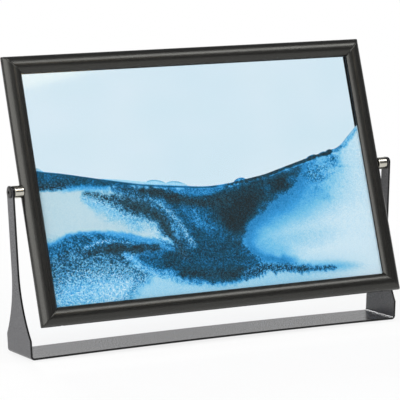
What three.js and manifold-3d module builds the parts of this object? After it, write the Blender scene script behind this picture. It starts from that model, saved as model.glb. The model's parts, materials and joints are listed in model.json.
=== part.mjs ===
// A moving sand picture: a sealed glass cell with liquid and layered sand, in a frame of
// oval rails that turns end over end between the uprights of a bent sheet stand.
// Millimetres, +Z up, the front faces -Y. The origin is on the table, under the middle of
// the pivot axis.
import * as THREE from "three";
import { mergeVertices } from "three/addons/utils/BufferGeometryUtils.js";
import Module from "manifold-3d";

const wasm = await Module();
wasm.setup();

// Clearances
const FIT = 0.3; // between pieces that seat in or on each other inside the frame
const SEAL_FILM = 0.15; // glue between the cell's spacer and each pane, and around the panes in the groove
const MITRE_GAP = 0.1; // each rail's end stops this short of its mitre
const PLAY = 0.15; // end play between the pieces stacked on a pivot
const RUN = 0.1; // radial clearance of the turning screw in its bush

// Frame rails
const FRAME_WIDTH = 305;
const FRAME_HEIGHT = 200;
const RAIL_FACE = 14.4; // width of a rail's oval section before the groove cuts its inner end off
const RAIL_DEPTH = 11.5; // front to back
const RAIL_WALL = 2.8; // from the outer edge to the hollow
const RAIL_SKIN = 1.2; // in front of the hollow and behind it
const CHAMBER_WIDTH = 3.8; // hollow for the corner keys and pivot nuts
const GROOVE_WALL = 1.2; // between that hollow and the groove for the cell
const REAR_LIP_SET_BACK = 0.6; // the lip behind the cell ends this far short of the one in front
const SEAT_DEPTH = 1; // flat spot milled into a side rail's outer edge for the sleeve
const TILT = THREE.MathUtils.degToRad(18.1); // top leans back

// Glass cell
const GLASS_THICKNESS = 1.5;
const CAVITY_DEPTH = 2;
const SPACER_SET_BACK = 0.7; // the spacer hides this far behind the rails' sight edge
const PLUG_RADIUS = 0.5;
const PLUG_OFFSET = 60; // from the middle of the top edge

// Corner joints
const KEY_LEG = 26;
const GRUB_RADIUS = 1.5;
const GRUB_LENGTH = 4.2;
const GRUB_OFFSET = 17; // from the frame's outer corner
const GRUB_SOCKET_RADIUS = 0.85;
const GRUB_SOCKET_DEPTH = 1.4;

// Pivots
const PIVOT_HEIGHT = 121.4;
const SCREW_RADIUS = 2;
const SCREW_CHAMFER = 0.4;
const HEAD_RADIUS = 4.2;
const HEAD_HEIGHT = 0.6;
const HEAD_RIM = 0.25; // straight side of the head below its dome
const HEAD_SHOULDER = 0.4; // the dome's curve is drawn towards a point this far inside its rim
const HEAD_SOCKET_RADIUS = 1.45;
const HEAD_SOCKET_DEPTH = 1;
const SLEEVE_RADIUS = 4.6;
const SLEEVE_LENGTH = 7.05;
const WASHER_RADIUS = 4;
const WASHER_THICKNESS = 0.5;
const BUSH_RADIUS = 3;
const NUT_LENGTH = 18;

// Stand
const SHEET = 1.5;
const BEND_RADIUS = 1.5; // inside the bend
const SPLAY = THREE.MathUtils.degToRad(2.5); // uprights lean outwards
const BASE_DEPTH = 40.3;
const BASE_BOW = 1.15; // the base's middle stands this much higher than its ends
const NECK_WIDTH = 10.5; // upright's width at the pivot
const NECK_TOP = 4.6; // from the pivot's axis to the upright's top
const NECK_CORNER = 4; // round corners of the upright's top
const FLARE_TOP = 64; // height where the neck begins to widen
const FLARE_BOTTOM = 15; // height where it has the base's full depth
const PAD_RADIUS = 5;
const PAD_THICKNESS = 1;
const PAD_INSET_X = 14; // from the start of the bend to a pad's middle
const PAD_INSET_Y = 12.5; // from the base's long edge to a pad's middle

// Fineness of round shapes
const ROUND = 32;
const HEX = 6;
const ARC = 8;
const DRIFT_STEPS = 48;
const SAME_POINT = 1e-5; // points closer than this are one

// Values that follow from the sizes above
const ovalWide = RAIL_FACE / 2;
const ovalDeep = RAIL_DEPTH / 2;
const grooveHalf = CAVITY_DEPTH / 2 + GLASS_THICKNESS + SEAL_FILM;
const grooveBottom = RAIL_WALL + CHAMBER_WIDTH + GROOVE_WALL;
const lipAngle = Math.asin(grooveHalf / ovalDeep);
const sightInset = ovalWide * (1 + Math.cos(lipAngle));
const rearSight = sightInset - REAR_LIP_SET_BACK;
const rearLipAngle = Math.acos(rearSight / ovalWide - 1);
const chamberHalf = ovalDeep * Math.sqrt(1 - (1 - RAIL_WALL / ovalWide) ** 2) - RAIL_SKIN;
const insertNear = RAIL_WALL + FIT;
const insertFar = RAIL_WALL + CHAMBER_WIDTH - FIT;
const insertDepth = 2 * (chamberHalf - FIT);
const paneInset = grooveBottom + FIT;
const paneWidth = FRAME_WIDTH - 2 * paneInset;
const paneHeight = FRAME_HEIGHT - 2 * paneInset;
const spacerInset = sightInset - SPACER_SET_BACK;
const spacerDepth = CAVITY_DEPTH - 2 * SEAL_FILM;
const fillDepth = CAVITY_DEPTH - 2 * FIT;
const fillHalfWidth = FRAME_WIDTH / 2 - spacerInset - FIT;
const fillHalfHeight = FRAME_HEIGHT / 2 - spacerInset - FIT;

// Places along a pivot, from the frame's middle outwards
const lean = Math.tan(SPLAY);
const sleeveStart = FRAME_WIDTH / 2 - SEAT_DEPTH + PLAY;
const sleeveEnd = sleeveStart + SLEEVE_LENGTH;
const washerStart = sleeveEnd + PLAY;
const washerEnd = washerStart + WASHER_THICKNESS;
const uprightInner = washerEnd + PLAY + WASHER_RADIUS * lean;
const uprightOuter = uprightInner + SHEET / Math.cos(SPLAY);
const headStart = uprightOuter + PLAY + HEAD_RADIUS * lean;
const screwTip = FRAME_WIDTH / 2 - insertFar;

const finish = {
  rail: { color: 0x2b2a28, roughness: 0.38, metalness: 0.6 },
  stand: { color: 0x55565a, roughness: 0.55, metalness: 0.2 },
  nickel: { color: 0xc9c6b8, roughness: 0.18, metalness: 1 },
  black: { color: 0x1c1c1b, roughness: 0.45, metalness: 0.5 },
  steel: { color: 0x8d8f92, roughness: 0.4, metalness: 1 },
  nylon: { color: 0x24241f, roughness: 0.6, metalness: 0 },
  rubber: { color: 0x1a1a1a, roughness: 0.85, metalness: 0 },
  glass: { color: 0xeaf4f7, roughness: 0.03, metalness: 0, transparent: true, opacity: 0.25 },
  liquid: { color: 0xcfe6f2, roughness: 0.05, metalness: 0, transparent: true, opacity: 0.45 },
  paleSand: { color: 0xb4d8ea, roughness: 0.9, metalness: 0 },
  darkSand: { color: 0x1f3d58, roughness: 0.9, metalness: 0 },
};

function piece(name, geometry, look) {
  geometry.computeVertexNormals();
  const mesh = new THREE.Mesh(geometry, new THREE.MeshStandardMaterial({ ...look, flatShading: true }));
  mesh.name = name;
  return mesh;
}

// Keeps only the places of a geometry's points, with shared points merged.
function bare(geometry) {
  geometry.deleteAttribute("normal");
  geometry.deleteAttribute("uv");
  return mergeVertices(geometry, SAME_POINT);
}

function toSolid(geometry) {
  const merged = bare(geometry);
  return new wasm.Manifold(
    new wasm.Mesh({
      numProp: 3,
      vertProperties: new Float32Array(merged.attributes.position.array),
      triVerts: new Uint32Array(merged.index.array),
    }),
  );
}

function toGeometry(solid) {
  const mesh = solid.getMesh();
  const geometry = new THREE.BufferGeometry();
  geometry.setAttribute("position", new THREE.BufferAttribute(new Float32Array(mesh.vertProperties), 3));
  geometry.setIndex(new THREE.BufferAttribute(new Uint32Array(mesh.triVerts), 1));
  return geometry;
}

function cut(geometry, ...tools) {
  return toGeometry(tools.reduce((body, tool) => body.subtract(toSolid(tool)), toSolid(geometry)));
}

function common(first, second) {
  return toGeometry(toSolid(first).intersect(toSolid(second)));
}

function rodX(radius, from, to, sides = ROUND) {
  return new THREE.CylinderGeometry(radius, radius, to - from, sides)
    .rotateZ(-Math.PI / 2)
    .translate((from + to) / 2, 0, 0);
}

function rodZ(radius, from, to, sides = ROUND) {
  return new THREE.CylinderGeometry(radius, radius, to - from, sides)
    .rotateX(Math.PI / 2)
    .translate(0, 0, (from + to) / 2);
}

// A solid of revolution about the X axis from a profile of [radius, x] points.
function turnedX(profile) {
  const points = profile.map(([radius, x]) => new THREE.Vector2(radius, x));
  return new THREE.LatheGeometry(points, ROUND).rotateZ(-Math.PI / 2);
}

function tubeX(inner, outer, from, to) {
  return turnedX([[inner, from], [outer, from], [outer, to], [inner, to], [inner, from]]);
}

function extruded(shape, depth) {
  return new THREE.ExtrudeGeometry(shape, { depth, bevelEnabled: false, curveSegments: ARC });
}

// A flat shape drawn in X and Z, given a depth about the plane Y = 0.
function slabXZ(shape, depth) {
  return extruded(shape, depth).rotateX(Math.PI / 2).translate(0, depth / 2, 0);
}

function rectangle(halfWidth, halfHeight, Kind = THREE.Shape) {
  return new Kind([
    new THREE.Vector2(-halfWidth, -halfHeight),
    new THREE.Vector2(halfWidth, -halfHeight),
    new THREE.Vector2(halfWidth, halfHeight),
    new THREE.Vector2(-halfWidth, halfHeight),
  ]);
}

// Section of a rail: x is the distance in from the frame's outer edge, y is front to back.
function railSection() {
  const section = new THREE.Shape();
  section.absellipse(ovalWide, 0, ovalWide, ovalDeep, rearLipAngle, Math.PI, false);
  section.absellipse(ovalWide, 0, ovalWide, ovalDeep, Math.PI, 2 * Math.PI - lipAngle, false);
  section.lineTo(grooveBottom, -grooveHalf);
  section.lineTo(grooveBottom, grooveHalf);
  section.lineTo(rearSight, grooveHalf);
  const chamber = new THREE.Path();
  chamber.moveTo(RAIL_WALL, -chamberHalf);
  chamber.lineTo(RAIL_WALL, chamberHalf);
  chamber.lineTo(RAIL_WALL + CHAMBER_WIDTH, chamberHalf);
  chamber.lineTo(RAIL_WALL + CHAMBER_WIDTH, -chamberHalf);
  section.holes.push(chamber);
  return section;
}

// A rail along X with mitred ends, whose outer edge is at Z = reach. holes are bored through
// its outer wall, each at its own place along the rail, some with a flat seat around them.
function rail(length, reach, holes) {
  const geometry = bare(extruded(railSection(), 1));
  const place = geometry.attributes.position;
  for (let i = 0; i < place.count; i++) {
    const inset = place.getX(i);
    const end = place.getZ(i) < 0.5 ? -1 : 1;
    place.setXYZ(i, end * (length / 2 - inset - MITRE_GAP), place.getY(i), reach - inset);
  }
  const bore = (radius, depth) => rodZ(radius + FIT, reach - depth, reach + RAIL_WALL);
  const drillDepth = RAIL_WALL + CHAMBER_WIDTH / 2;
  const drills = holes.map((hole) => bore(hole.radius, drillDepth).translate(hole.at, 0, 0));
  const seats = holes.filter((hole) => hole.seat);
  const mills = seats.map((hole) => bore(hole.seat, SEAT_DEPTH).translate(hole.at, 0, 0));
  return cut(geometry, ...drills, ...mills);
}

// The corner key at the frame's upper right, with the corner itself at the origin.
function cornerKey() {
  const outline = new THREE.Shape([
    new THREE.Vector2(-KEY_LEG, -insertNear),
    new THREE.Vector2(-KEY_LEG, -insertFar),
    new THREE.Vector2(-insertFar, -insertFar),
    new THREE.Vector2(-insertFar, -KEY_LEG),
    new THREE.Vector2(-insertNear, -KEY_LEG),
    new THREE.Vector2(-insertNear, -insertNear),
  ]);
  const thread = rodZ(GRUB_RADIUS + FIT, -insertFar - FIT, -insertNear + FIT).translate(-GRUB_OFFSET, 0, 0);
  return cut(slabXZ(outline, insertDepth), thread);
}

function grubScrew() {
  const top = -insertFar + GRUB_LENGTH;
  const socket = rodZ(GRUB_SOCKET_RADIUS, top - GRUB_SOCKET_DEPTH, top + FIT, HEX);
  return cut(rodZ(GRUB_RADIUS, -insertFar, top), socket).translate(-GRUB_OFFSET, 0, 0);
}

function frameRails() {
  const grubPlace = FRAME_WIDTH / 2 - GRUB_OFFSET;
  const grubs = [-1, 1].map((side) => ({ at: side * grubPlace, radius: GRUB_RADIUS }));
  const pivot = [{ at: 0, radius: SCREW_RADIUS, seat: SLEEVE_RADIUS }];
  const rails = [
    ["top", FRAME_WIDTH, FRAME_HEIGHT, grubs, 0],
    ["right", FRAME_HEIGHT, FRAME_WIDTH, pivot, Math.PI / 2],
    ["bottom", FRAME_WIDTH, FRAME_HEIGHT, grubs, Math.PI],
    ["left", FRAME_HEIGHT, FRAME_WIDTH, pivot, -Math.PI / 2],
  ];
  return rails.map(([side, length, across, holes, turn]) => {
    const mesh = piece(`frame_rail_${side}`, rail(length, across / 2, holes), finish.rail);
    mesh.rotation.y = turn;
    return mesh;
  });
}

function cornerJoints() {
  const corners = [
    ["top_right", 1, 1, [0, 0, 0]],
    ["top_left", -1, 1, [0, 0, Math.PI]],
    ["bottom_right", 1, -1, [Math.PI, 0, 0]],
    ["bottom_left", -1, -1, [0, Math.PI, 0]],
  ];
  return corners.map(([corner, sideX, sideZ, turn]) => {
    const joint = new THREE.Group();
    joint.add(piece(`corner_key_${corner}`, cornerKey(), finish.steel));
    joint.add(piece(`corner_screw_${corner}`, grubScrew(), finish.black));
    joint.position.set((sideX * FRAME_WIDTH) / 2, 0, (sideZ * FRAME_HEIGHT) / 2);
    joint.rotation.set(...turn);
    return joint;
  });
}

function glassCell() {
  const pane = () => new THREE.BoxGeometry(paneWidth, GLASS_THICKNESS, paneHeight);
  const front = piece("front_glass", pane(), finish.glass);
  const rear = piece("rear_glass", pane(), finish.glass);
  rear.position.y = (CAVITY_DEPTH + GLASS_THICKNESS) / 2;
  front.position.y = -rear.position.y;
  const ring = rectangle(paneWidth / 2, paneHeight / 2);
  ring.holes.push(
    rectangle(FRAME_WIDTH / 2 - spacerInset, FRAME_HEIGHT / 2 - spacerInset, THREE.Path),
  );
  const plugBottom = FRAME_HEIGHT / 2 - spacerInset;
  const fillHole = rodZ(PLUG_RADIUS + RUN, plugBottom - FIT, paneHeight / 2 + FIT)
    .translate(PLUG_OFFSET, 0, 0);
  const spacer = piece("cell_spacer", cut(slabXZ(ring, spacerDepth), fillHole), finish.rubber);
  const plug = piece("fill_plug", rodZ(PLUG_RADIUS, plugBottom, paneHeight / 2), finish.rubber);
  plug.position.x = PLUG_OFFSET;
  return [front, rear, spacer, plug];
}

// Points of a smooth line in shares of the cell's half width and half height.
function drift(shares) {
  const curve = new THREE.SplineCurve(shares.map(([x, z]) => new THREE.Vector2(x, z)));
  const scale = new THREE.Vector2(fillHalfWidth, fillHalfHeight);
  return curve.getPoints(DRIFT_STEPS).map((point) => point.multiply(scale));
}

// A closed outline, counter-clockwise, with every side moved outwards by gap.
function grown(outline, gap) {
  const outward = (from, to) => {
    const along = to.clone().sub(from).normalize();
    return new THREE.Vector2(along.y, -along.x);
  };
  return outline.map((point, i) => {
    const before = outward(outline.at(i - 1), point);
    const after = outward(point, outline[(i + 1) % outline.length]);
    const middle = before.clone().add(after).normalize();
    return middle.multiplyScalar(gap / middle.dot(before)).add(point);
  });
}

function cellFill() {
  const corner = (x, z) => new THREE.Vector2(x * fillHalfWidth, z * fillHalfHeight);
  const crest = drift([
    [1, 0.36], [0.92, 0.26], [0.83, 0.17], [0.63, 0.1], [0.46, 0.04], [0.29, -0.03], [0.11, -0.07],
    [-0.03, -0.09], [-0.23, -0.05], [-0.44, 0], [-0.66, 0.055], [-0.88, 0.13], [-1, 0.175],
  ]);
  const leftPocket = drift([
    [-1, -0.475], [-0.91, -0.4], [-0.82, -0.36], [-0.68, -0.39], [-0.51, -0.455], [-0.31, -0.51],
    [-0.5, -0.335], [-0.655, -0.17], [-0.76, -0.05], [-1, -0.01],
  ]);
  const rightPocket = drift([
    [1, 0.29], [0.88, 0.11], [0.735, 0.015], [0.56, -0.145], [0.3, -0.29], [0.185, -0.45], [0.115, -0.63],
    [0.25, -0.745], [0.475, -0.845], [0.75, -0.92], [1, -0.94],
  ]);
  const floorTop = drift([
    [1, -0.975], [0.78, -0.965], [0.47, -0.895], [0.235, -0.865], [0.03, -0.93], [-0.145, -0.895],
    [-0.38, -0.835], [-0.55, -0.8], [-0.73, -0.835], [-1, -0.925],
  ]);
  const heap = [corner(-1, -1), corner(1, -1), ...crest];
  const floor = [corner(-1, -1), corner(1, -1), ...floorTop];
  const slab = (outline) => slabXZ(new THREE.Shape(outline), fillDepth);
  const tool = (outline) => slabXZ(new THREE.Shape(grown(outline, FIT)), CAVITY_DEPTH);
  const pale = [leftPocket, rightPocket, floor];
  const cell = slabXZ(rectangle(fillHalfWidth, fillHalfHeight), fillDepth);
  return [
    piece("liquid_fill", cut(cell, tool(heap)), finish.liquid),
    piece("dark_sand", cut(slab(heap), ...pale.map(tool)), finish.darkSand),
    piece("pale_sand_left", slab(leftPocket), finish.paleSand),
    piece("pale_sand_right", slab(rightPocket), finish.paleSand),
    piece("pale_sand_floor", slab(floor), finish.paleSand),
  ];
}

// The pivot pieces that turn with the frame, drawn for the right side.
function turningPivot(side) {
  const dome = new THREE.QuadraticBezierCurve(
    new THREE.Vector2(HEAD_RADIUS, headStart + HEAD_RIM),
    new THREE.Vector2(HEAD_RADIUS - HEAD_SHOULDER, headStart + HEAD_HEIGHT),
    new THREE.Vector2(0, headStart + HEAD_HEIGHT),
  ).getPoints(ARC);
  const screw = turnedX([
    [0, screwTip],
    [SCREW_RADIUS - SCREW_CHAMFER, screwTip],
    [SCREW_RADIUS, screwTip + SCREW_CHAMFER],
    [SCREW_RADIUS, headStart],
    [HEAD_RADIUS, headStart],
    ...dome.map((point) => [point.x, point.y]),
  ]);
  const headEnd = headStart + HEAD_HEIGHT;
  const socket = rodX(HEAD_SOCKET_RADIUS, headEnd - HEAD_SOCKET_DEPTH, headEnd + FIT, HEX);
  const nutWidth = insertFar - insertNear;
  const nutBlock = new THREE.BoxGeometry(nutWidth, insertDepth, NUT_LENGTH)
    .translate(screwTip + nutWidth / 2, 0, 0);
  const nutHole = rodX(SCREW_RADIUS + FIT, screwTip - FIT, screwTip + nutWidth + FIT);
  const sleeve = tubeX(SCREW_RADIUS + FIT, SLEEVE_RADIUS, sleeveStart, sleeveEnd);
  return [
    piece(`pivot_screw_${side}`, cut(screw, socket), finish.black),
    piece(`pivot_sleeve_${side}`, sleeve, finish.nickel),
    piece(`pivot_nut_${side}`, cut(nutBlock, nutHole), finish.steel),
  ];
}

// The pivot pieces that stay with the stand, drawn for the right side.
function standingPivot(side) {
  const bore = SCREW_RADIUS + RUN;
  const bush = tubeX(bore, BUSH_RADIUS, uprightInner, uprightOuter);
  const washer = tubeX(bore, WASHER_RADIUS, washerStart, washerEnd);
  return [
    piece(`pivot_bush_${side}`, bush, finish.nylon),
    piece(`pivot_washer_${side}`, washer, finish.nylon),
  ];
}

function bothSides(make) {
  return [["right", 0], ["left", Math.PI]].map(([side, turn]) => {
    const group = new THREE.Group();
    group.add(...make(side));
    group.rotation.z = turn;
    return group;
  });
}

// Where the bend from the base into the right upright has its middle.
const bendZ = PAD_THICKNESS + SHEET + BEND_RADIUS;
const bendX = uprightInner - (PIVOT_HEIGHT - bendZ + BEND_RADIUS * Math.sin(SPLAY)) * lean
  - BEND_RADIUS * Math.cos(SPLAY);

// The base is a flat arch, whose circle runs through the middles of both bends.
const archRadius = (bendX ** 2 + BASE_BOW ** 2) / (2 * BASE_BOW);
const archTurn = Math.asin(bendX / archRadius);
const archZ = bendZ + BASE_BOW - archRadius;

// The bent sheet seen from the front, with uprights that run past their rounded tops.
function bentStrip() {
  const top = PIVOT_HEIGHT + NECK_WIDTH;
  const outerTop = uprightOuter + NECK_WIDTH * lean;
  const innerTop = uprightInner + NECK_WIDTH * lean;
  const topRadius = archRadius - BEND_RADIUS;
  const up = Math.PI / 2;
  const rightEnd = -up - archTurn;
  const leftEnd = -up + archTurn;
  const outwards = -SPLAY;
  const mirrored = -Math.PI + SPLAY;
  const strip = new THREE.Shape();
  strip.absarc(0, archZ, topRadius - SHEET, up + archTurn, up - archTurn, true);
  strip.absarc(bendX, bendZ, BEND_RADIUS + SHEET, rightEnd, outwards, false);
  strip.lineTo(outerTop, top);
  strip.lineTo(innerTop, top);
  strip.absarc(bendX, bendZ, BEND_RADIUS, outwards, rightEnd, true);
  strip.absarc(0, archZ, topRadius, up - archTurn, up + archTurn, false);
  strip.absarc(-bendX, bendZ, BEND_RADIUS, leftEnd, mirrored, true);
  strip.lineTo(-innerTop, top);
  strip.lineTo(-outerTop, top);
  strip.absarc(-bendX, bendZ, BEND_RADIUS + SHEET, mirrored, leftEnd, false);
  return slabXZ(strip, BASE_DEPTH);
}

// The stand seen from the side: full depth at the foot, a concave flare and round top corners.
function sideOutline() {
  const half = BASE_DEPTH / 2;
  const neck = NECK_WIDTH / 2;
  const rise = FLARE_TOP - FLARE_BOTTOM;
  const spread = half - neck;
  const radius = (spread ** 2 + rise ** 2) / (2 * spread);
  const sweep = Math.asin(rise / radius);
  const corner = neck - NECK_CORNER;
  const shoulder = PIVOT_HEIGHT + NECK_TOP - NECK_CORNER;
  const outline = new THREE.Shape();
  outline.moveTo(-half, 0);
  outline.lineTo(half, 0);
  outline.absarc(neck + radius, FLARE_TOP, radius, Math.PI + sweep, Math.PI, true);
  outline.absarc(corner, shoulder, NECK_CORNER, 0, Math.PI / 2, false);
  outline.absarc(-corner, shoulder, NECK_CORNER, Math.PI / 2, Math.PI, false);
  outline.absarc(-neck - radius, FLARE_TOP, radius, 0, -sweep, true);
  return outline;
}

function standBracket() {
  const reach = uprightOuter + NECK_WIDTH;
  const profile = extruded(sideOutline(), 2 * reach)
    .rotateX(Math.PI / 2)
    .rotateZ(Math.PI / 2)
    .translate(-reach, 0, 0);
  const bore = rodX(BUSH_RADIUS + FIT, -reach, reach).translate(0, 0, PIVOT_HEIGHT);
  return piece("stand_bracket", cut(common(bentStrip(), profile), bore), finish.stand);
}

function footPads() {
  const places = [
    ["front_left", -1, -1],
    ["front_right", 1, -1],
    ["rear_left", -1, 1],
    ["rear_right", 1, 1],
  ];
  return places.map(([place, sideX, sideY]) => {
    const pad = piece(`foot_pad_${place}`, rodZ(PAD_RADIUS, 0, PAD_THICKNESS), finish.rubber);
    pad.position.set(sideX * (bendX - PAD_INSET_X), sideY * (BASE_DEPTH / 2 - PAD_INSET_Y), 0);
    return pad;
  });
}

const frame = new THREE.Group();
frame.add(...frameRails(), ...cornerJoints(), ...glassCell(), ...cellFill(), ...bothSides(turningPivot));
frame.position.z = PIVOT_HEIGHT;
frame.rotation.x = -TILT;

const stand = new THREE.Group();
const standPivots = bothSides(standingPivot);
standPivots.forEach((pivot) => (pivot.position.z = PIVOT_HEIGHT));
stand.add(standBracket(), ...footPads(), ...standPivots);

const part = new THREE.Group();
part.add(stand, frame);
export default part;
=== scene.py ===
import json
import math

import bmesh
import bpy
import numpy as np
from mathutils import Matrix, Vector

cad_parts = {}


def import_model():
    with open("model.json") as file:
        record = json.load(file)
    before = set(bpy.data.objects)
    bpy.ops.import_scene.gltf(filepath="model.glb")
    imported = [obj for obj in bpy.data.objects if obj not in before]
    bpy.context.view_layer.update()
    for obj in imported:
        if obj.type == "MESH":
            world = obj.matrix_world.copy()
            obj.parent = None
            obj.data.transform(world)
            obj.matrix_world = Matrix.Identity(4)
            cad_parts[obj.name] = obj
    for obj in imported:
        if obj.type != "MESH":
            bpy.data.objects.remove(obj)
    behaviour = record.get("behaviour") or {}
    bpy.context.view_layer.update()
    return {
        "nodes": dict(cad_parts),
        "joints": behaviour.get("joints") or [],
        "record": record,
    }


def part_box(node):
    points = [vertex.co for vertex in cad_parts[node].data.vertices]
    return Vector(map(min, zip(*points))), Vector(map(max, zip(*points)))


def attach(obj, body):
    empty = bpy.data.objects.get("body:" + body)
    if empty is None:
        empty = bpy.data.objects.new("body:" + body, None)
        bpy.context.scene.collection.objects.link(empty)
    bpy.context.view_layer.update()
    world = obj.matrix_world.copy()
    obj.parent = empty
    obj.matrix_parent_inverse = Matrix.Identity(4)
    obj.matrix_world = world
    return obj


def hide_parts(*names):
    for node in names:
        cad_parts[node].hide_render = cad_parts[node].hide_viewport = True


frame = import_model()

# Sizes are in millimetres, as on the solids, unless a comment says otherwise
MM = 0.001
TILT = math.radians(18.1)

# Rails
OVAL_WIDE = 7.2
OVAL_DEEP = 5.75
SLACK = 0.025
LIP_ROUND = 0.3
REAR_LIP_SET_BACK = 0.6
GROOVE_HALF = 2.65
GROOVE_BOTTOM = 7.8
CHAMBER_NEAR = 2.8
CHAMBER_FAR = 6.6
CHAMBER_HALF = 3.35
SEAT_RADIUS = 4.9
SEAT_DEPTH = 1
MITRE_GAP = 0.1
MITRE_ROUND = 0.3
MITRE_SHRINK = 0.12
GRUB_HOLE_RADIUS = 1.8
GRUB_OFFSET = 17
PIVOT_HOLE_RADIUS = 2.3
HOLE_OVERSHOOT = 2.8

# Stand
SHEET = 1.5
SHEET_EDGE_ROUND = 0.25
BEND_RADIUS = 1.5
SPLAY = math.radians(2.5)
BASE_HALF = 20.15
BASE_BOW = 1.15
NECK_HALF = 5.25
NECK_TOP = 4.6
NECK_CORNER = 4
FLARE_TOP = 64
FLARE_BOTTOM = 15
BUSH_HOLE_RADIUS = 3.3

# Pads: the grooves start and end at shares of the radius, and the lift keeps pads inside the solids' box
PAD_THICKNESS = 1
PAD_LIFT = 0.001
PAD_GROOVES = ((0.3, 0.54), (0.66, 0.86))
PAD_GROOVE_SLOPE = 0.04
PAD_GROOVE_DEPTH = 0.2
PAD_LOWER_EDGE = (0.15, 0.3)
PAD_UPPER_EDGE = 0.25

# Pivots: each ring has a bore and a radius for its eased edges
SLEEVE_BORE = 2.3
RUNNING_BORE = 2.1
PIVOT_RINGS = {"sleeve": (SLEEVE_BORE, 0.3), "washer": (RUNNING_BORE, 0.12), "bush": (RUNNING_BORE, 0.15)}
SCREW_RADIUS = 2
SCREW_CHAMFER = 0.4
HEAD_HEIGHT = 0.6
HEAD_RIM = 0.25
HEAD_EDGE = 0.1
HEAD_SHOULDER = 0.4
HEAD_SOCKET_RADIUS = 1.45
HEAD_SOCKET_DEPTH = 1
SOCKET_SIDES = 6
SOCKET_OVERSHOOT = 1

# Glass cell
PANE_CHAMFER = 0.35
FILL_HALF_DEPTH = 0.9
LIQUID_GAP = 0.05
SPECK = 0.75

# Fineness of meshes, welding distances in metres, and angles in degrees from which edges stay sharp
TURN_STEPS = 64
ARC_STEPS = 40
CORNER_STEPS = 4
CURVE_STEPS = 12
BEND_STEPS = 14
FLARE_STEPS = 28
NECK_STEPS = 8
NECK_CORNER_STEPS = 10
DOME_STEPS = 16
SAND_COLUMNS = 284
SAND_ROWS = 112
SAND_ROW_POWER = 1.25
WELD = 1e-6
SHEET_WELD = 2e-6
LOW_CREASE = 30
MID_CREASE = 35
HIGH_CREASE = 40

PIVOT = Vector(frame["joints"][0]["pos_m"])
PICTURE = Matrix.Translation(PIVOT) @ Matrix.Rotation(-TILT, 4, "X")
SIDES = {"left": -1, "right": 1}


def picture_box(node):
    """Lowest and highest corner of a node in the frame's own plane, in millimetres."""
    back = np.array(PICTURE.inverted())
    place = np.array([v.co for v in frame["nodes"][node].data.vertices])
    local = (place @ back[:3, :3].T + back[:3, 3]) / MM
    return local.min(axis=0), local.max(axis=0)


def stand_box(node):
    """Lowest and highest corner of a node in the row frame, in millimetres."""
    low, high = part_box(node)
    return np.array(low) / MM, np.array(high) / MM


# Colours and reflection
WHITE = (1, 1, 1, 1)
LEAST_REFLECTION = 0.02


def opaque(red, green, blue):
    """A colour as a screen shows it, from 0 to 255, in the linear values that nodes take."""
    shares = [c / 255 for c in (red, green, blue)]
    return (*(c / 12.92 if c <= 0.04045 else ((c + 0.055) / 1.055) ** 2.4 for c in shares), 1)


# Materials


class Nodes:
    """Builds a node tree."""

    def __init__(self, tree):
        self.tree = tree
        tree.nodes.clear()

    def add(self, kind, inputs=None, **settings):
        node = self.tree.nodes.new(kind)
        for key, value in settings.items():
            setattr(node, key, value)
        for key, value in (inputs or {}).items():
            self.feed(node.inputs[key], value)
        return node

    def feed(self, socket, value):
        if isinstance(value, bpy.types.NodeSocket):
            self.tree.links.new(value, socket)
        else:
            socket.default_value = value

    def place(self, stretch=(1, 1, 1), lean=0.0):
        """Object coordinates in metres, turned by lean about X and drawn out by stretch."""
        source = self.add("ShaderNodeTexCoord").outputs["Object"]
        inputs = {"Vector": source, "Rotation": (lean, 0, 0), "Scale": stretch}
        return self.add("ShaderNodeMapping", inputs, vector_type="TEXTURE").outputs["Vector"]

    def noise(self, size, place, detail):
        """Noise from 0 to 1 whose lumps measure about size in metres."""
        inputs = {"Vector": place, "Scale": 1 / size, "Detail": detail}
        return self.add("ShaderNodeTexNoise", inputs).outputs["Fac"]

    def cells(self, size, place):
        """A steady number from 0 to 1 in each grain of about size in metres."""
        cell = self.add("ShaderNodeTexVoronoi", {"Vector": place, "Scale": 1 / size})
        return self.add("ShaderNodeSeparateColor", {"Color": cell.outputs["Color"]}).outputs["Red"]

    def maths(self, operation, first, second):
        return self.add("ShaderNodeMath", {0: first, 1: second}, operation=operation).outputs[0]

    def span(self, value, low, high, to_low, to_high):
        inputs = {"Value": value, 1: low, 2: high, 3: to_low, 4: to_high}
        return self.add("ShaderNodeMapRange", inputs).outputs[0]

    def ramp(self, value, stops):
        node = self.add("ShaderNodeValToRGB", {"Fac": value})
        marks = node.color_ramp.elements
        while len(marks) < len(stops):
            marks.new(0.5)
        for mark, (position, colour) in zip(marks, stops):
            mark.position = position
            mark.color = colour
        return node.outputs["Color"]

    def blend(self, share, first, second):
        """The first colour where share is 0 and the second where it is 1."""
        inputs = {0: share, 6: first, 7: second}
        return self.add("ShaderNodeMix", inputs, data_type="RGBA").outputs[2]

    def bump(self, height, strength, distance):
        inputs = {"Height": height, "Strength": strength, "Distance": distance}
        return self.add("ShaderNodeBump", inputs).outputs["Normal"]


class Shader(Nodes):
    """Builds one material's node tree."""

    def __init__(self, name):
        self.material = bpy.data.materials.new(name)
        self.material.use_nodes = True
        super().__init__(self.material.node_tree)

    def finish(self, shader):
        self.add("ShaderNodeOutputMaterial", {"Surface": shader.outputs[0]})
        return self.material

    def principled(self, look):
        return self.finish(self.add("ShaderNodeBsdfPrincipled", look))


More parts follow.
